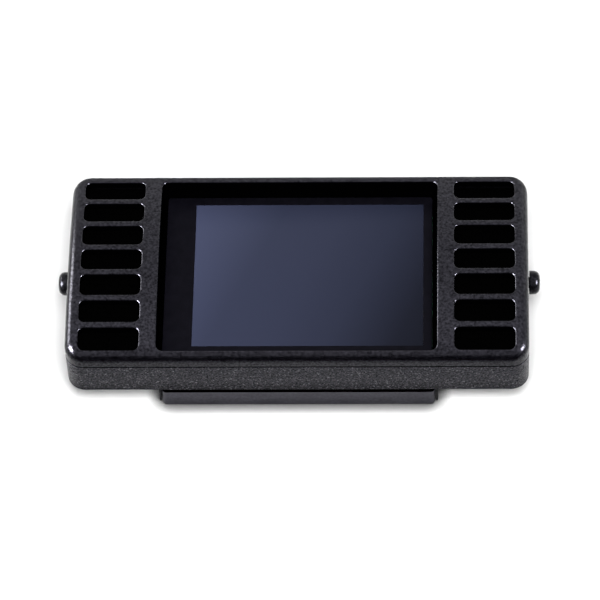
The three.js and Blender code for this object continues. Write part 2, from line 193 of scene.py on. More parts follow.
class Shell:
    """A mesh made of rings of points, bands between them and caps over them."""

    def __init__(self):
        self.points = []
        self.faces = []

    def ring(self, outline, height):
        """Adds a ring of points. height is a number or a function of x and y."""
        first = len(self.points)
        for x, y in outline:
            self.points.append((x, y, height(x, y) if callable(height) else height))
        return list(range(first, len(self.points)))

    def band(self, low, high):
        """Quads from one ring up to the next, facing out for anticlockwise rings."""
        count = len(low)
        for index in range(count):
            after = (index + 1) % count
            self.faces.append((low[index], low[after], high[after], high[index]))

    def stack(self, rings):
        for low, high in zip(rings, rings[1:]):
            self.band(low, high)

    def cap(self, ring, up=True):
        self.faces.append(tuple(ring) if up else tuple(reversed(ring)))

    def prism(self, outline, low, high):
        """Adds a closed block between two heights."""
        ends = [self.ring(outline, height) for height in (low, high)]
        self.cap(ends[0], up=False)
        self.band(*ends)
        self.cap(ends[1])

    def surface(self, outer, holes, height, inside, step=None, up=True):
        """Triangles that fill `outer` less `holes`, with a grid of points every `step`.

        inside(point) says how deep a point lies in the surface: below zero it's outside.
        """
        used = [index for ring in [outer, *holes] for index in ring]
        flat = [Vector(self.points[index][:2]) for index in used]
        edges = []
        start = 0
        for ring in [outer, *holes]:
            edges += [(start + k, start + (k + 1) % len(ring)) for k in range(len(ring))]
            start += len(ring)
        if step:
            xs = [point.x for point in flat]
            ys = [point.y for point in flat]
            columns = int((max(xs) - min(xs)) / step)
            rows = int((max(ys) - min(ys)) / step)
            for row in range(1, rows + 1):
                for column in range(1, columns + 1):
                    x = min(xs) + (max(xs) - min(xs)) * (column - 0.5 * (row % 2)) / columns
                    y = min(ys) + (max(ys) - min(ys)) * (row - 0.5) / rows
                    if inside((x, y)) > 0.6 * step:
                        flat.append(Vector((x, y)))
        found, _, triangles, sources, _, _ = delaunay_2d_cdt(flat, edges, [], 0, 1e-9)
        index_of = []
        for position, source in zip(found, sources):
            if source and source[0] < len(used):
                index_of.append(used[source[0]])
            else:
                index_of.append(len(self.points))
                self.points.append((position.x, position.y, height(position.x, position.y)))
        for triangle in triangles:
            middle = sum((found[k] for k in triangle), Vector((0, 0))) / 3
            if inside(middle) > 0:
                corners = [index_of[k] for k in triangle]
                self.faces.append(tuple(corners if up else reversed(corners)))

    def make(self, name):
        """Links the shell to the scene as an object."""
        mesh = bpy.data.meshes.new(name)
        mesh.from_pydata(self.points, [], self.faces)
        mesh.update()
        shade_smooth(mesh)
        piece = bpy.data.objects.new(name, mesh)
        bpy.context.scene.collection.objects.link(piece)
        return piece


def shade_smooth(mesh):
    mesh.polygons.foreach_set("use_smooth", [True] * len(mesh.polygons))
    mesh.set_sharp_from_angle(angle=SHARP_ANGLE)


def turned_shell(profile, count=32):
    """A Shell turned about Z from (radius, height) points, from one end of the axis to the other."""
    shell = Shell()
    rings = [shell.ring(circle_ring(radius, count), height) for radius, height in profile]
    shell.cap(rings[0], up=False)
    shell.stack(rings)
    shell.cap(rings[-1])
    return shell


def cut_away(piece, cutters):
    """Cuts each of the cutters out of the piece, and removes them."""
    for cutter in cutters:
        modifier = piece.modifiers.new("cut", "BOOLEAN")
        modifier.operation = "DIFFERENCE"
        modifier.solver = "EXACT"
        modifier.object = cutter
    graph = bpy.context.evaluated_depsgraph_get()
    piece.data = bpy.data.meshes.new_from_object(piece.evaluated_get(graph))
    piece.modifiers.clear()
    shade_smooth(piece.data)
    for cutter in cutters:
        bpy.data.objects.remove(cutter)


def cylinder_cutter(radius, low, high, centre, count=32):
    """An upright cylinder to cut with, between two heights."""
    piece = turned_shell([(radius, low), (radius, high)], count).make("cutter")
    piece.location = (*centre, 0)
    return piece


# ---- Materials ---------------------------------------------------------------------------

PLASTIC_TINT = (0.83, 0.81, 1.0, 1)     # the black mouldings reflect a little blue
# Black painted as shade, not the plastic's own colour: on the walls of the openings, inside the housing and
# on faces turned to a narrow gap.
PAINTED_SHADE_BLACK = (0.0003, 0.0003, 0.0004)   # walls of openings, and faces turned to a narrow gap


class Finish:
    """A procedural material: one Principled shader and short calls that add nodes to it."""

    def __init__(self, name, **sockets):
        self.material = bpy.data.materials.new(name)
        self.material.use_nodes = True
        self.tree = self.material.node_tree
        self.shader = self.tree.nodes["Principled BSDF"]
        self.place = self.tree.nodes.new("ShaderNodeTexCoord").outputs["Object"]
        for socket, value in sockets.items():
            self.shader.inputs[socket.replace("_", " ")].default_value = value

    def node(self, kind, inputs, **settings):
        made = self.tree.nodes.new("ShaderNode" + kind)
        for key, value in settings.items():
            setattr(made, key, value)
        for socket, value in inputs.items():
            if isinstance(value, bpy.types.NodeSocket):
                self.tree.links.new(value, made.inputs[socket])
            else:
                made.inputs[socket].default_value = value
        return made

    def stretched(self, scale):
        return self.node("Mapping", {"Vector": self.place, "Scale": scale}).outputs["Vector"]

    def noise(self, size, detail=2.0, place=None):
        """Noise whose blobs are about `size` across."""
        inputs = {"Vector": place or self.place, "Scale": 1 / size, "Detail": detail}
        return self.node("TexNoise", inputs).outputs["Fac"]

    def ramp(self, factor, *stops):
        """Colours at given places from 0 to 1."""
        made = self.node("ValToRGB", {"Fac": factor})
        elements = made.color_ramp.elements
        while len(elements) < len(stops):
            elements.new(0.5)
        for element, (position, colour) in zip(elements, stops):
            element.position = position
            element.color = (*colour, 1)
        return made.outputs["Color"]

    def between(self, factor, low, high):
        """Noise, which mostly lies from 0.3 to 0.7, stretched to a range."""
        inputs = {"Value": factor, "To Min": low, "To Max": high, "From Min": 0.3, "From Max": 0.7}
        return self.node("MapRange", inputs).outputs["Result"]

    def spread(self, value, low, high):
        """0 up to `low`, 1 from `high`, and a straight line between."""
        inputs = {"Value": value, "From Min": low, "From Max": high}
        return self.node("MapRange", inputs).outputs["Result"]

    def math(self, operation, *values):
        return self.node("Math", dict(enumerate(values)), operation=operation).outputs[0]

    def mixed(self, factor, colour, other):
        """A colour that turns to another as the factor goes from 0 to 1."""
        made = self.node("Mix", {0: factor, 6: colour, 7: (*other, 1)}, data_type="RGBA")
        return made.outputs[2]

    def bump(self, height, depth, before=None):
        """Relief that rises by `depth` as height goes from 0 to 1, over the relief in `before`."""
        inputs = {"Height": height, "Distance": depth}
        if before:
            inputs["Normal"] = before
        return self.node("Bump", inputs).outputs["Normal"]

    def drive(self, socket, value):
        self.tree.links.new(value, self.shader.inputs[socket])

    def split(self, vector):
        """The X, Y and Z of a vector."""
        return self.node("SeparateXYZ", {"Vector": vector}).outputs

    def within(self, value, reach):
        """1 where a value lies less than `reach` from zero, and 0 elsewhere."""
        return self.math("LESS_THAN", self.math("ABSOLUTE", value), reach)

    def darkened(self, gloss, mask):
        """A gloss that falls to nothing where the mask is 1."""
        return self.math("MULTIPLY", gloss, self.math("SUBTRACT", 1.0, mask))


def painted_shade_in_openings(made):
    """1 on the walls of the slots and the recess, where black is painted as shade, and 0 elsewhere."""
    place = made.split(made.place)
    square = made.math("MULTIPLY", place["Y"], place["Y"])
    arch = made.math("SQRT", made.math("SUBTRACT", ARCH_RADIUS ** 2, square))
    face = made.math("ADD", arch, CROWN - ARCH_RADIUS)
    depth = made.math("SUBTRACT", face, place["Z"])
    deep = made.spread(depth, 0.28 * MM, 0.55 * MM)
    across = made.within(place["X"], OPENINGS_REACH[0])
    along = made.within(place["Y"], OPENINGS_REACH[1])
    return made.math("MULTIPLY", deep, made.math("MULTIPLY", across, along))


def bezel_finish():
    """Semi-gloss black moulding with an uneven orange-peel grain; the openings' walls are painted matt black
    as shade.
    """
    made = Finish("bezel_plastic", Specular_Tint=PLASTIC_TINT)
    # painted shade: the walls of the slots and the recess turn black and lose their gloss
    inside = painted_shade_in_openings(made)
    mottle = made.noise(0.8 * MM, 3)
    tone = made.ramp(mottle, (0.35, (0.0006, 0.00055, 0.0009)), (0.65, (0.002, 0.0019, 0.0028)))
    made.drive("Base Color", made.mixed(inside, tone, PAINTED_SHADE_BLACK))
    gloss = made.between(made.noise(0.6 * MM, 3), 0.05, 0.3)
    made.drive("Specular IOR Level", made.darkened(gloss, inside))
    made.drive("Roughness", made.between(made.noise(1.6 * MM, 3), 0.14, 0.25))
    lines = made.noise(0.28 * MM, 2, made.stretched((0.03, 0.03, 1)))
    peel = made.bump(made.noise(0.7 * MM, 2), 0.05 * MM, made.bump(lines, 0.02 * MM))
    made.drive("Normal", made.bump(made.noise(0.28 * MM, 2), 0.014 * MM, peel))
    return made.material


def housing_finish():
    """Matt black moulding, sparkling with coarse grain, duller towards its back edge.

    Its inside and its rim are painted plain matt black as shade.
    """
    made = Finish("housing_plastic", Specular_Tint=PLASTIC_TINT)
    grain = made.noise(0.42 * MM, 3)
    dust = made.ramp(grain, (0.4, (0.0012, 0.0011, 0.0018)), (0.55, (0.005, 0.0048, 0.007)),
                     (0.64, (0.03, 0.029, 0.034)), (0.72, (0.13, 0.128, 0.14)))
    place = made.split(made.place)
    lining = 1.75 * MM              # how far in from the outside the dark inside starts
    across = made.within(place["X"], BODY_WIDTH / 2 - lining)
    along = made.within(place["Y"], BODY_HEIGHT / 2 - lining)
    above = made.math("GREATER_THAN", place["Z"], BACK + WALL / 2)
    rim = made.math("GREATER_THAN", place["Z"], HOUSING_HIGH.z - 0.08 * MM)
    # painted shade: black inside the housing and along its rim at the seam, with no gloss there
    inside = made.math("MAXIMUM", rim, made.math("MULTIPLY", above, made.math("MULTIPLY", across, along)))
    made.drive("Base Color", made.mixed(inside, dust, PAINTED_SHADE_BLACK))
    fade = made.math("MULTIPLY_ADD", made.spread(place["Z"], BACK, BACK + 4.5 * MM), 0.75, 0.2)
    gloss = made.math("MULTIPLY", made.between(made.noise(0.5 * MM, 3), 0.0, 0.25), fade)
    made.drive("Specular IOR Level", made.darkened(gloss, inside))
    made.drive("Roughness", made.between(made.noise(0.4 * MM, 2), 0.26, 0.46))
    lines = made.noise(0.3 * MM, 2, made.stretched((0.03, 0.03, 1)))
    made.drive("Normal", made.bump(grain, 0.09 * MM, made.bump(lines, 0.012 * MM)))
    return made.material


def box_finish():
    """Smooth satin black moulding with the faint streaks of a polished mould; its neck, under the housing, is
    painted matt black as shade.
    """
    made = Finish("box_plastic", Specular_Tint=PLASTIC_TINT)
    streaks = made.noise(1.2 * MM, 3, made.stretched((0.25, 1, 1)))
    tone = made.ramp(streaks, (0.3, (0.01, 0.0095, 0.0125)), (0.7, (0.018, 0.0175, 0.0215)))
    # painted shade: the neck in the shadow of the housing's overhang turns matt black without gloss
    neck = made.math("GREATER_THAN", made.split(made.place)["Z"], BOX_HIGH.z - BOX_NECK - 0.02 * MM)
    made.drive("Base Color", made.mixed(neck, tone, PAINTED_SHADE_BLACK))
    gloss = made.between(made.noise(0.8 * MM, 3), 0.2, 0.34)
    made.drive("Specular IOR Level", made.darkened(gloss, neck))
    made.drive("Roughness", made.between(streaks, 0.38, 0.5))
    made.drive("Normal", made.bump(made.noise(0.5 * MM, 3), 0.01 * MM))
    return made.material


def border_finish():
    """Near-black ink round the screen, a little mottled."""
    made = Finish("screen_border", Specular_IOR_Level=0.015)
    ink = made.noise(2.0 * MM, 3)
    made.drive("Base Color", made.ramp(ink, (0.3, (0.0019, 0.0018, 0.0031)), (0.7, (0.0029, 0.0027, 0.0045))))
    made.drive("Roughness", made.between(made.noise(0.9 * MM, 3), 0.34, 0.44))
    made.drive("Normal", made.bump(made.noise(0.2 * MM, 2), 0.003 * MM))
    return made.material


def screen_finish():
    """An unlit liquid-crystal screen: slate blue under a satin film, with a painted reflection that lightens
    it towards the upper left and leaves it deepest towards the lower right corner.
    """
    made = Finish("screen_active", Specular_IOR_Level=0.03)
    scale = (1 / CELL_SIZE[0], 1 / CELL_SIZE[1], 1)
    shift = (-CELL_LOW.x * scale[0], -CELL_LOW.y * scale[1], 0)
    part = made.node("Mapping", {"Vector": made.place, "Location": shift, "Scale": scale}).outputs["Vector"]
    share = made.split(part)        # 0 to 1 across the screen, and 0 to 1 up it
    # painted reflection: the colour lightens towards the upper left as a soft light's reflection would
    across = made.math("MULTIPLY", share["X"], -0.74)
    shade = made.math("ADD", made.math("MULTIPLY", share["Y"], 0.26), made.math("ADD", across, 0.74))
    made.drive("Base Color", made.ramp(
        shade, (0.0, (0.0036, 0.0042, 0.0077)), (0.1, (0.0056, 0.0065, 0.012)),
        (0.31, (0.0148, 0.0174, 0.0319)), (0.5, (0.0199, 0.0232, 0.0427)),
        (0.7, (0.0228, 0.0266, 0.049)), (1.0, (0.0435, 0.0505, 0.093))))
    made.drive("Roughness", made.between(made.noise(0.8 * MM, 2), 0.3, 0.36))
    made.drive("Normal", made.bump(made.noise(0.12 * MM, 2), 0.001 * MM))
    return made.material


def cloth_finish():
    """Black woven acoustic cloth."""
    made = Finish("grille_cloth", Specular_IOR_Level=0.0)
    inputs = {"Vector": made.place, "Scale": 900.0}
    warp, weft = [made.node("TexWave", inputs, bands_direction=axis).outputs["Fac"] for axis in "XY"]
    weave = made.math("MULTIPLY", warp, weft)
    tone = made.ramp(weave, (0.2, (0.0002, 0.0002, 0.0002)), (0.9, (0.0009, 0.0009, 0.001)))
    made.drive("Base Color", tone)
    made.drive("Roughness", made.between(weave, 0.85, 1.0))
    made.drive("Normal", made.bump(weave, 0.05 * MM))
    return made.material


def metal_finish(name, dark, light, rough):
    """Metal with fine scuffs: two tones, uneven gloss and a slight relief."""
    made = Finish(name, Metallic=1.0)
    scuffs = made.noise(0.5 * MM, 4)
    made.drive("Base Color", made.ramp(scuffs, (0.35, dark), (0.7, light)))
    made.drive("Roughness", made.between(made.noise(1.0 * MM, 3), rough - 0.08, rough + 0.1))
    made.drive("Normal", made.bump(scuffs, 0.004 * MM))
    return made.material


def plain_finish(name, dark, light, rough, size, depth, gloss=0.5):
    """A non-metal with two-tone mottling and relief."""
    made = Finish(name, Specular_IOR_Level=gloss)
    spots = made.noise(size, 4)
    made.drive("Base Color", made.ramp(spots, (0.35, dark), (0.65, light)))
    made.drive("Roughness", made.between(spots, rough - 0.08, rough + 0.08))
    made.drive("Normal", made.bump(spots, depth))
    return made.material


FINISHES = {
    "bezel_plastic": bezel_finish(),
    "housing_plastic": housing_finish(),
    "box_plastic": box_finish(),
    "screen_border": border_finish(),
    "screen_active": screen_finish(),
    "grille_cloth": cloth_finish(),
    "black_steel": metal_finish("black_steel", (0.003, 0.003, 0.0038), (0.012, 0.012, 0.014), 0.26),
    "bare_steel": metal_finish("bare_steel", (0.42, 0.42, 0.43), (0.58, 0.58, 0.6), 0.32),
    "brass": metal_finish("brass", (0.5, 0.33, 0.1), (0.62, 0.44, 0.17), 0.3),
    "board": plain_finish(
        "board", (0.012, 0.07, 0.03), (0.02, 0.12, 0.055), 0.4, 1.2 * MM, 0.03 * MM),
    "chip": plain_finish(
        "chip", (0.006, 0.006, 0.007), (0.014, 0.014, 0.015), 0.55, 0.3 * MM, 0.01 * MM),
    "gasket_foam": plain_finish(
        "gasket_foam", (0.0005, 0.0005, 0.0005), (0.0015, 0.0015, 0.0015), 0.85, 0.3 * MM, 0.08 * MM, 0.02),
    "ceramic": plain_finish(
        "ceramic", (0.42, 0.36, 0.25), (0.6, 0.53, 0.38), 0.5, 0.8 * MM, 0.01 * MM),
    "ribbon": plain_finish(
        "ribbon", (0.22, 0.09, 0.02), (0.34, 0.15, 0.035), 0.3, 2.0 * MM, 0.004 * MM),
    "laser_window": plain_finish(
        "laser_window", (0.012, 0.001, 0.002), (0.02, 0.002, 0.003), 0.14, 2 * MM, 0.001 * MM),
}


def finished(piece, body, slot, node):
    """Gives a piece its material and its body, and hides the CAD node that it stands for."""
    piece.data.materials.clear()
    piece.data.materials.append(FINISHES[slot])
    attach(piece, body)
    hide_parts(node)


# ---- Bezel -------------------------------------------------------------------------------

def face_height(x, y):
    """Height of the arched front face, with its roll towards the bottom edge."""
    arch = CROWN - ARCH_RADIUS + math.sqrt(ARCH_RADIUS ** 2 - y * y)
    past = min(max(ROLL_RADIUS - BODY_HEIGHT / 2 - y, 0), ROLL_RADIUS)
    return arch - ROLL_RADIUS + math.sqrt(ROLL_RADIUS ** 2 - past * past)


def ceiling_height(x, y):
    """Height of the face's underside, over the two grille pockets."""
    return CROWN - ARCH_RADIUS + math.sqrt(ARCH_RADIUS ** 2 - y * y) - FACE_THICKNESS


def blended(sizes, facing):
    """One of `sizes`, or a blend, for an outline facing down (-1), sideways (0) or up (1) along Y."""
    other, power = (sizes["top"], 1.5) if facing > 0 else (sizes["bottom"], 4)
    return sizes["side"] + (other - sizes["side"]) * abs(facing) ** power


def rounded_edge(radius, steps, outward):
    """(grow, drop) pairs from a flat face over a quarter-round edge to its wall.

    outward is 1 on an outline, which starts inside its final size, and -1 on a hole.
    """
    pairs = []
    for index in range(steps + 1):
        angle = math.pi / 2 * index / steps
        pairs.append((-outward * radius * (1 - math.sin(angle)), radius * (1 - math.cos(angle))))
    return pairs


SLOT_CENTRES = [(side * SLOT_X, (row - (SLOT_ROWS - 1) / 2) * SLOT_PITCH)
                for side in (-1, 1) for row in range(SLOT_ROWS)]
POCKET_CENTRES = [(-SLOT_X, 0), (SLOT_X, 0)]


def opening_rings(shell, size, corner, radius, centre=(0, 0)):
    """Rings from the face over an opening's rounded edge to its wall."""
    rings = []
    for grow, drop in rounded_edge(radius, OPENING_EDGE_STEPS, -1):
        outline = rectangle_ring(size, corner, centre, grow)
        rings.append(shell.ring(outline, lambda x, y, drop=drop: face_height(x, y) - drop))
    return rings


def outline_rings(shell):
    """Rings from the face over the outline's rounded edge, which varies along it, to the wall."""
    outline = rectangle_ring(BODY_SIZE, BODY_CORNER)
    swollen = rectangle_ring(BODY_SIZE, BODY_CORNER, grow=MM)
    normals = [((far[0] - near[0]) / MM, (far[1] - near[1]) / MM) for near, far in zip(outline, swollen)]
    rings = []
    for index in range(OUTLINE_EDGE_STEPS + 1):
        angle = math.pi / 2 * index / OUTLINE_EDGE_STEPS
        ring = []
        for (x, y), (normal_x, normal_y) in zip(outline, normals):
            inward = blended(EDGE_IN, normal_y) * (1 - math.sin(angle))
            down = blended(EDGE_DOWN, normal_y) * (1 - math.cos(angle))
            x -= normal_x * inward
            y -= normal_y * inward
            ring.append(len(shell.points))
            shell.points.append((x, y, face_height(x, y) - down))
        rings.append(ring)
    return rings


def depth_in_face(point):
    """How far inside the face's flat part a point lies, clear of its edge and its openings."""
    across = max(abs(point[0]) - BODY_WIDTH / 2 + BODY_CORNER, 0)
    along = max(abs(point[1]) - BODY_HEIGHT / 2 + BODY_CORNER, 0)
    facing = math.copysign(along / max(math.hypot(across, along), MM * MM), point[1])
    slack = 0.25 * MM               # keeps the triangles next to the outline's first ring
    depth = slack - distance_outside(point, BODY_SIZE, BODY_CORNER) - blended(EDGE_IN, facing)
    depth = min(depth, distance_outside(point, RECESS_SIZE, RECESS_CORNER) - RECESS_EDGE)
    for centre in SLOT_CENTRES:
        depth = min(depth, distance_outside(point, SLOT_SIZE, SLOT_CORNER, centre) - SLOT_EDGE)
    return depth


def depth_in_underside(point):
    """How far inside the level underside a point lies, between the outline and the hollows."""
    depth = -distance_outside(point, BODY_SIZE, BODY_CORNER) - BEZEL_LEAD
    depth = min(depth, distance_outside(point, RECESS_SIZE, RECESS_CORNER))
    for centre in POCKET_CENTRES:
        depth = min(depth, distance_outside(point, POCKET_SIZE, POCKET_CORNER, centre))
    return depth


def make_pocket(shell, centre, slots, floor):
    """Hollow behind one column of slots: its walls, its ceiling and the slots' lower walls.

    slots holds the rings and the centre of each slot. Returns the hollow's ring at the floor.
    """
    outline = rectangle_ring(POCKET_SIZE, POCKET_CORNER, centre)
    low = shell.ring(outline, floor)
    high = shell.ring(outline, ceiling_height)
    shell.band(high, low)
    slot_lows = []
    for rings, place in slots:
        slot_low = shell.ring(rectangle_ring(SLOT_SIZE, SLOT_CORNER, place), ceiling_height)
        shell.stack(rings + [slot_low])
        slot_lows.append(slot_low)

    def depth_in_ceiling(point):
        depth = -distance_outside(point, POCKET_SIZE, POCKET_CORNER, centre)
        for _, place in slots:
            depth = min(depth, distance_outside(point, SLOT_SIZE, SLOT_CORNER, place))
        return depth

    shell.surface(high, slot_lows, ceiling_height, depth_in_ceiling, GRID_STEP, up=False)
    return low


def make_bezel():
    """Arched face with rounded openings, pocketed behind the grilles, with walls to the seam."""
    shell = Shell()
    floor = SEAM + GAP / 2
    outer_rings = outline_rings(shell)
    recess_rings = opening_rings(shell, RECESS_SIZE, RECESS_CORNER, RECESS_EDGE)
    slot_rings = [opening_rings(shell, SLOT_SIZE, SLOT_CORNER, SLOT_EDGE, centre)
                  for centre in SLOT_CENTRES]
    openings = [recess_rings[0]] + [rings[0] for rings in slot_rings]
    shell.surface(outer_rings[0], openings, face_height, depth_in_face, FACE_STEP)

    # Outer wall, from the rounded edge down to the seam, and the recess's wall.
    wall_low = shell.ring(rectangle_ring(BODY_SIZE, BODY_CORNER), floor + BEZEL_LEAD)
    under_outer = shell.ring(rectangle_ring(BODY_SIZE, BODY_CORNER, grow=-BEZEL_LEAD), floor)
    shell.stack([under_outer, wall_low] + outer_rings[::-1])
    recess_low = shell.ring(rectangle_ring(RECESS_SIZE, RECESS_CORNER), floor)
    shell.stack(recess_rings + [recess_low])

    pocket_lows = []
    for pocket in POCKET_CENTRES:
        slots = [(rings, centre) for rings, centre in zip(slot_rings, SLOT_CENTRES)
                 if centre[0] * pocket[0] > 0]
        pocket_lows.append(make_pocket(shell, pocket, slots, floor))
    shell.surface(under_outer, [recess_low] + pocket_lows, lambda x, y: floor, depth_in_underside, up=False)

    # Skirts that carry the recess's two side walls on down to the screen.
    for side in (-1, 1):
        centre = (side * (RECESS_SIZE[0] + SKIRT_SIZE[0]) / 2, 0)
        outline = rectangle_ring(SKIRT_SIZE, SKIRT_CORNER, centre, arc_steps=3, step=SINGLE_STEP)
        shell.prism(outline, BEZEL_LOW.z, floor + 0.6 * MM)
    finished(shell.make("bezel"), "head", "bezel_plastic", "front_bezel")


# ---- Housing and receiver box ------------------------------------------------------------

def tray_shell(size, corner, low, high, wall, edge, lead, step_down, arc_steps):
    """An open tray of even wall, with a rounded lower edge.

    Its rim is `lead` narrower on each side. It narrows at a step, `step_down` below the rim, or
    where that is zero along a chamfer as high as `lead`.
    """
    shell = Shell()

    def outer_ring(grow, height):
        return shell.ring(rectangle_ring(size, corner, grow=grow, arc_steps=arc_steps), height)

    rings = [outer_ring(grow, low + drop) for grow, drop in rounded_edge(edge, 6, 1)]
    rings.append(outer_ring(0, high - (step_down or lead)))
    if step_down:
        rings.append(outer_ring(-lead, high - step_down))
    rings.append(outer_ring(-lead, high))
    inner_corner = max(corner - wall, 0.3 * MM)
    half = [side / 2 - wall - inner_corner for side in size]
    inside = ring_points(half, inner_corner, side_counts(size, corner), (0, 0), arc_steps)
    for height in (high, low + wall):
        rings.append(shell.ring(inside, height))
    shell.cap(rings[0], up=False)
    shell.stack(rings)
    shell.cap(rings[-1])
    return shell


def centre_of(node):
    low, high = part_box(node)
    return (low + high) / 2


CASE_SCREWS = [centre_of(f"case_screw_{index}").xy for index in range(1, 5)]
BOX_SCREWS = [centre_of(f"box_screw_{index}").xy for index in range(1, 5)]


def make_housing():
    """Grainy shell behind the seam, with sunk screw holes and the side screws' bores."""
    piece = tray_shell(BODY_SIZE, BODY_CORNER, BACK, HOUSING_HIGH.z, WALL, HOUSING_EDGE, HOUSING_LEAD,
                       step_down=0, arc_steps=10).make("housing")
    below = BACK - PAST
    above = BACK + WALL + PAST
    cutters = [cylinder_cutter(SCREW_HEAD_HOLE, below, BACK + SCREW_HEAD_DEPTH, centre)
               for centre in CASE_SCREWS]
    cutters += [cylinder_cutter(SCREW_SHANK_HOLE, below, above, centre, 20)
                for centre in CASE_SCREWS + BOX_SCREWS]
    pivot = centre_of("pivot_screw_left")
    reach = BODY_WIDTH / 2 + PAST
    bore = turned_shell([(PIVOT_BORE, -reach), (PIVOT_BORE, reach)], 24).make("cutter")
    bore.data.transform(Matrix.Rotation(math.pi / 2, 4, "Y"))
    bore.location = (0, pivot.y, pivot.z)
    cut_away(piece, cutters + [bore])
    finished(piece, "head", "housing_plastic", "rear_housing")


def inlet_cutter():
    """A block to cut the power socket's hole through the receiver box's upper wall with."""
    socket_low, socket_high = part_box("power_socket")
    middle = (socket_low + socket_high) / 2
    size = (socket_high.x - socket_low.x + 2 * GAP, socket_high.z - socket_low.z + 2 * GAP)
    inlet = Shell()
    reach = 3 * MM
    inlet.prism(rectangle_ring(size, 1.8 * MM, step=SINGLE_STEP), -reach, reach)
    hole = inlet.make("cutter")
    hole.data.transform(Matrix.Rotation(-math.pi / 2, 4, "X"))
    hole.location = (middle.x, BOX_HIGH.y, middle.z)
    return hole


def make_receiver_box():
    """Smooth cover on the back, with screw holes, the laser window's hole and the inlet's."""
    size = (BOX_HIGH.x - BOX_LOW.x, BOX_HIGH.y - BOX_LOW.y)
    piece = tray_shell(size, BOX_CORNER, BOX_LOW.z, BOX_HIGH.z, BOX_WALL, BOX_EDGE, BOX_NECK_IN,
                       step_down=BOX_NECK, arc_steps=8).make("box_cover")
    below = -PAST
    above = BOX_WALL + PAST
    cutters = [cylinder_cutter(SCREW_HEAD_HOLE, below, above, centre) for centre in BOX_SCREWS]
    cutters.append(cylinder_cutter(WINDOW_HOLE, below, above, centre_of("laser_lens").xy, 40))
    cut_away(piece, cutters + [inlet_cutter()])
    finished(piece, "head", "box_plastic", "receiver_box")


# ---- Screen ------------------------------------------------------------------------------

PANEL_CENTRE = ((PANEL_HIGH + PANEL_LOW) / 2).xy
PANEL_CORNER = 0.8 * MM
PANEL_EDGE = 0.12 * MM
CELL_CENTRE = ((CELL_HIGH + CELL_LOW) / 2).xy
CELL_CORNER = 0.12 * MM
CELL_EDGE = 0.04 * MM
CELL_SUNK = 0.02 * MM           # below the front panel's surface


def make_screen_border():
    """The screen module's front panel, open over the active area."""
    opening = [side + 2 * 0.03 * MM for side in CELL_SIZE]
    opening_corner = 0.15 * MM
    heights = (PANEL_HIGH.z, PANEL_LOW.z)
    shell = Shell()
    outer = []
    for grow, drop in rounded_edge(PANEL_EDGE, 3, 1):
        outline = rectangle_ring(PANEL_SIZE, PANEL_CORNER, PANEL_CENTRE, grow)
        outer.append(shell.ring(outline, PANEL_HIGH.z - drop))
    outer.append(shell.ring(rectangle_ring(PANEL_SIZE, PANEL_CORNER, PANEL_CENTRE), PANEL_LOW.z))
    inner_outline = rectangle_ring(opening, opening_corner, CELL_CENTRE)
    inner = [shell.ring(inner_outline, height) for height in heights]

    def depth_in_border(point):
        depth = -distance_outside(point, PANEL_SIZE, PANEL_CORNER, PANEL_CENTRE)
        return min(depth, distance_outside(point, opening, opening_corner, CELL_CENTRE))

    shell.surface(outer[0], [inner[0]], lambda x, y: PANEL_HIGH.z,
                  lambda point: depth_in_border(point) - PANEL_EDGE / 2)
    shell.surface(outer[-1], [inner[1]], lambda x, y: PANEL_LOW.z, depth_in_border, up=False)
    shell.stack(outer[::-1])
    shell.stack(inner)
    finished(shell.make("screen_border"), "head", "screen_border", "display_panel")


def make_screen_film():
    """The active area, a hair below the front panel's surface."""
    film = Shell()
    rings = [film.ring(rectangle_ring(CELL_SIZE, CELL_CORNER, CELL_CENTRE), CELL_LOW.z)]
    for grow, drop in rounded_edge(CELL_EDGE, 2, 1)[::-1]:
        outline = rectangle_ring(CELL_SIZE, CELL_CORNER, CELL_CENTRE, grow)
        rings.append(film.ring(outline, PANEL_HIGH.z - CELL_SUNK - drop))
    film.cap(rings[0], up=False)
    film.stack(rings)
    film.cap(rings[-1])
    finished(film.make("screen_film"), "head", "screen_active", "screen_cell")


# ---- Screws and window -------------------------------------------------------------------

def cross_cutter(reach, width, low, high):
    """Two crossed bars that cut the recess of a screw's head."""
    bars = []
    for turn in (0.25, 0.75):
        bar = Shell()
        outline = rectangle_ring((2 * reach, width), 0.3 * width, arc_steps=2, step=SINGLE_STEP)
        bar.prism(outline, low, high)
        piece = bar.make("cutter")
        piece.data.transform(Matrix.Rotation(turn * math.pi, 4, "Z"))
        bars.append(piece)
    return bars


def thread(radius, depth, pitch, start, end):
    """Turned points of a thread, drawn as separate ridges from one height up to another."""
    points = []
    while start < end:
        points += [(radius - depth, start), (radius, start + pitch / 2)]
        start += pitch
    return points


def make_pivot_screw(label, side):
    """Pan-head machine screw, standing out of one side."""
    low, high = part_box(f"pivot_screw_{label}")
    radius = (high.z - low.z) / 2
    length = (high.x - low.x) - PIVOT_HEAD
    profile = [(TIP, -length), (PIVOT_SHANK - 0.4 * MM, -length)]
    profile += thread(PIVOT_SHANK, 0.25 * MM, PIVOT_PITCH, 0.3 * MM - length, -1.0 * MM)
    profile += [(PIVOT_SHANK, -0.4 * MM), (PIVOT_SHANK, 0), (radius - 0.15 * MM, 0), (radius, 0.15 * MM)]
    rise = 0.75 * PIVOT_HEAD
    for index in range(1, 11):
        angle = math.pi / 2 * index / 11
        profile.append((radius * math.cos(angle) ** 0.55, PIVOT_HEAD - rise + rise * math.sin(angle) ** 0.8))
    profile.append((TIP, PIVOT_HEAD))
    piece = turned_shell(profile, 56).make(f"side_screw_{label}")
    cut_away(piece, cross_cutter(0.55 * radius, 0.75 * MM, PIVOT_HEAD - 1.3 * MM, PIVOT_HEAD + 1 * MM))
    piece.data.transform(Matrix.Rotation(side * math.pi / 2, 4, "Y"))
    middle = (low + high) / 2
    under_head = high.x - PIVOT_HEAD if side > 0 else low.x + PIVOT_HEAD
    piece.data.transform(Matrix.Translation((under_head, middle.y, middle.z)))
    finished(piece, f"screw_{label}", "black_steel", f"pivot_screw_{label}")


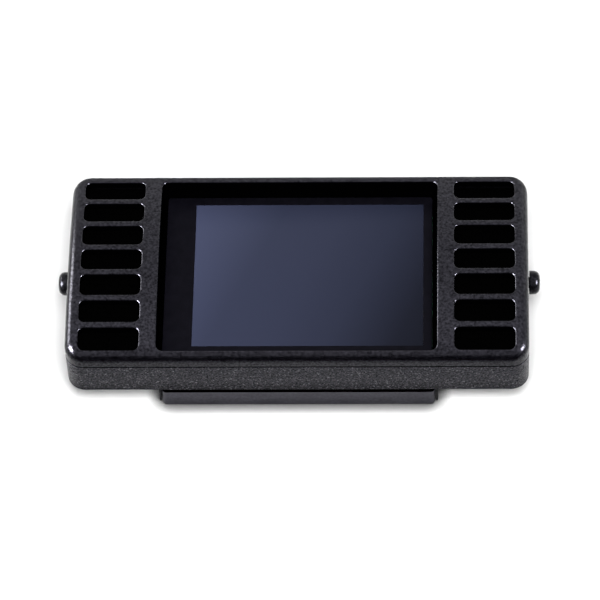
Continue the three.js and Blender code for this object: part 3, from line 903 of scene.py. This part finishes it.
def make_small_screw(node):
    """Cross-slotted pan-head screw; its head is at the lower end."""
    low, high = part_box(node)
    middle = (low + high) / 2
    profile = [(TIP, low.z)]
    crown = 0.55 * MM
    for index in range(1, 6):
        angle = math.pi / 2 * index / 5
        height = low.z + crown * (1 - math.cos(angle))
        profile.append((SMALL_HEAD - crown + crown * math.sin(angle), height))
    profile += [(SMALL_HEAD, low.z + 0.95 * MM), (SMALL_SHANK, low.z + 1.05 * MM)]
    profile += thread(SMALL_SHANK, 0.2 * MM, SMALL_PITCH, low.z + 1.5 * MM, high.z - 1.2 * MM)
    profile += [(SMALL_SHANK - 0.2 * MM, high.z - 0.5 * MM), (0.05 * MM, high.z)]
    piece = turned_shell(profile, 24).make("screw_" + node)
    cut_away(piece, cross_cutter(0.67 * SMALL_HEAD, 0.36 * MM, low.z - 1 * MM, low.z + 0.75 * MM))
    piece.data.transform(Matrix.Translation((middle.x, middle.y, 0)))
    finished(piece, "head", "black_steel", node)


def make_laser_window():
    """Domed window in the receiver box's back."""
    low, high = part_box("laser_lens")
    middle = (low + high) / 2
    radius = (high.x - low.x) / 2
    profile = [(TIP, low.z)]
    for index in range(1, 9):
        share = index / 8
        profile.append((radius * share * 0.98, low.z + 0.3 * MM * share ** 2))
    profile += [(radius, low.z + 0.42 * MM), (radius, high.z), (TIP, high.z)]
    piece = turned_shell(profile, 48).make("laser_window")
    piece.data.transform(Matrix.Translation((middle.x, middle.y, 0)))
    finished(piece, "head", "laser_window", "laser_lens")


# ---- Camera, floor and light -------------------------------------------------------------

CAMERA_ANGLES = (3.71, 55.24, -3.21)            # azimuth, elevation and roll, in degrees
CAMERA_TARGET = Vector((0.25, -3.61, 13.0)) * MM
CAMERA_DISTANCE = 1.118
CAMERA_LENS = 266.98                            # for a sensor 36 mm wide

SKY_STRENGTH = 1.9
FLOOR_REACH = 4.0

# Name, place, size, power, and whether only reflections show it or only matt surfaces.
LIGHTS = [
    ("key", (0.07, -0.56, 1.06), (0.5, 0.5), 26, "matt"),
    ("fill", (0, 0.9, 0.9), (0.6, 0.6), 5, "matt"),
    ("overhead", (0, 0.1, 1.1), (1.2, 0.7), 2.3, "reflected"),
    ("left_corner", (-0.87, -0.3, 0.42), (0.5, 0.42), 130, "reflected"),
    ("left_edge", (-0.85, 0.35, 0.33), (0.5, 0.4), 13, "reflected"),
    ("right_corner", (0.87, -0.3, 0.42), (0.35, 0.3), 70, "reflected"),
]

# Name, place, turn about X, and half of each side.
DARK_CARDS = [
    ("card_upright", (0, -0.95, 0.18), math.pi / 2, (0.6, 0.18)),
    ("card_flat", (0, -0.51, 0.001), 0, (0.6, 0.44)),
]


def make_camera():
    """A long lens above the unit's lower edge, a few degrees to its right and rolled a little."""
    azimuth, elevation, roll = (math.radians(angle) for angle in CAMERA_ANGLES)
    back = Vector((math.sin(azimuth) * math.cos(elevation), -math.cos(azimuth) * math.cos(elevation),
                   math.sin(elevation)))
    level = Vector((0, 0, 1)).cross(back).normalized()
    upright = back.cross(level)
    right = level * math.cos(roll) + upright * math.sin(roll)
    up = upright * math.cos(roll) - level * math.sin(roll)
    place = CAMERA_TARGET + back * CAMERA_DISTANCE
    data = bpy.data.cameras.new("camera")
    data.sensor_width = 36
    data.lens = CAMERA_LENS
    data.clip_start = 0.05
    data.clip_end = 20
    camera = bpy.data.objects.new("camera", data)
    camera.matrix_world = Matrix((*zip(right, up, back, place), (0, 0, 0, 1)))
    bpy.context.scene.collection.objects.link(camera)
    bpy.context.scene.camera = camera


def make_light(name, place, size, power, seen_on):
    """An area light that faces the origin, and that the camera doesn't see."""
    data = bpy.data.lights.new(name, "AREA")
    data.shape = "RECTANGLE"
    data.size, data.size_y = size
    data.energy = power
    light = bpy.data.objects.new(name, data)
    light.location = place
    light.rotation_mode = "QUATERNION"
    light.rotation_quaternion = (-Vector(place)).to_track_quat("-Z", "Y")
    light.visible_camera = False
    light.visible_diffuse = seen_on == "matt"
    light.visible_glossy = seen_on == "reflected"
    bpy.context.scene.collection.objects.link(light)


def flat_card(name, half, material):
    """A level rectangle of the stage, facing up."""
    shell = Shell()
    x, y = half
    shell.cap(shell.ring([(x, y), (-x, y), (-x, -y), (x, -y)], 0))
    card = shell.make(name)
    card.data.materials.append(material)
    return card


def make_floor():
    """White floor, with a contact shadow painted into its colour where ambient occlusion finds the unit
    close.
    """
    made = Finish("floor", Roughness=0.9, Specular_IOR_Level=0.0)
    near = made.node("AmbientOcclusion", {"Distance": 4 * MM}, samples=8).outputs["AO"]
    # painted contact shadow: the floor's colour darkens with ambient occlusion near the unit
    tone = made.ramp(near, (0.5, (0.1, 0.1, 0.1)), (0.75, (0.3, 0.3, 0.3)), (1.0, (0.8, 0.8, 0.8)))
    made.drive("Base Color", tone)
    flat_card("floor", (FLOOR_REACH, FLOOR_REACH), made.material)


def make_dark_cards():
    """Black cards on the side that the camera stands on, seen in reflections only."""
    made = Finish("card", Base_Color=(0.003, 0.003, 0.003, 1), Roughness=1.0, Specular_IOR_Level=0.0)
    for name, place, turn, half in DARK_CARDS:
        card = flat_card(name, half, made.material)
        card.location = place
        card.rotation_euler = (turn, 0, 0)
        card.visible_camera = False
        card.visible_shadow = False
        card.visible_diffuse = False


def make_sky():
    """Even white sky that only reflections show."""
    world = bpy.data.worlds.new("studio")
    world.use_nodes = True
    sky = world.node_tree.nodes["Background"]
    sky.inputs["Color"].default_value = (1, 1, 1, 1)
    sky.inputs["Strength"].default_value = SKY_STRENGTH
    world.cycles_visibility.diffuse = False
    bpy.context.scene.world = world


# ---- The whole ---------------------------------------------------------------------------

make_camera()
make_floor()
make_dark_cards()
make_sky()
for light_row in LIGHTS:
    make_light(*light_row)
bpy.context.scene.view_settings.view_transform = "Standard"
slot_of = {row["node"]: row["material_slot"] for row in frame["record"]["subparts"]}
for node, piece in frame["nodes"].items():
    piece.data.materials.clear()
    piece.data.materials.append(FINISHES[slot_of[node]])
make_bezel()
make_housing()
make_receiver_box()
make_screen_border()
make_screen_film()
make_laser_window()
for screw_label, screw_side in (("left", -1), ("right", 1)):
    make_pivot_screw(screw_label, screw_side)
for number in range(1, 5):
    make_small_screw(f"case_screw_{number}")
    make_small_screw(f"box_screw_{number}")
